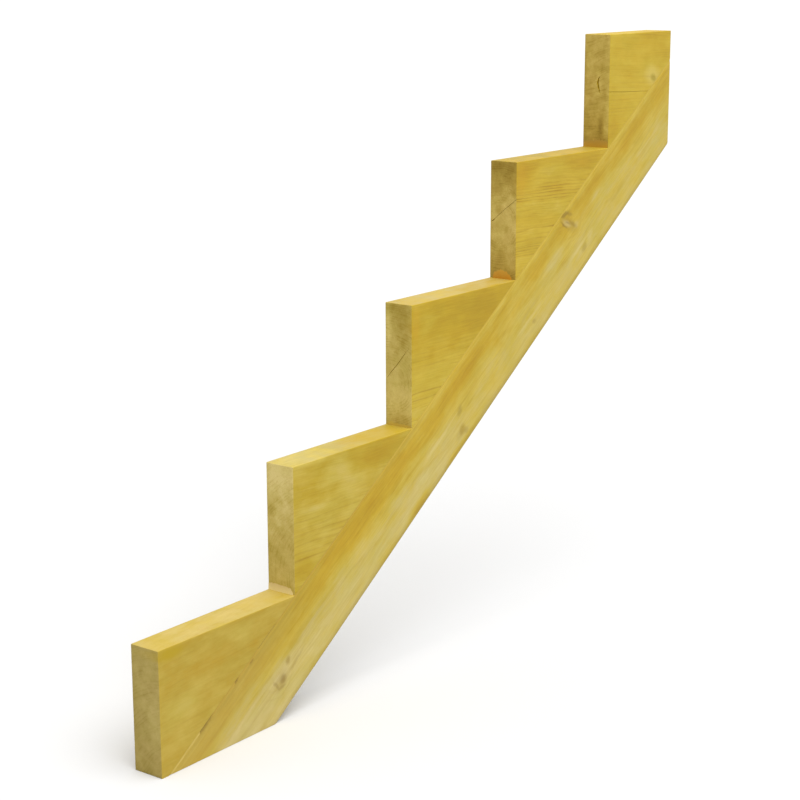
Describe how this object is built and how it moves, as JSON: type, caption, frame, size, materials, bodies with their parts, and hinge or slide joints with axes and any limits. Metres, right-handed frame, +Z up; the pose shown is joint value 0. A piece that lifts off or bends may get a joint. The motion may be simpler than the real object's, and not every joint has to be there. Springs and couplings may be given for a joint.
{
  "type": "stair stringer",
  "caption": "Timber stair stringer: sloping carriage board with triangular step blocks glued along its top edge, level foot cut, plumb back cut, open step profile for treads.",
  "frame": {"origin": "middle of the board's level foot cut, on the floor", "axes": "+X level along the going, from the first riser towards the plumb back cut; +Y across the thickness; +Z up"},
  "size_m": [1.185, 0.045, 0.842],
  "materials": {
    "treated_pine": "planed, sawn on the cut ends, with a yellow-green preservative tint"
  },
  "bodies": {
    "root": {"carriage_board": "treated_pine", "step_block_1": "treated_pine", "step_block_2": "treated_pine", "step_block_3": "treated_pine", "step_block_4": "treated_pine", "step_block_5": "treated_pine"}
  },
  "joints": []
}
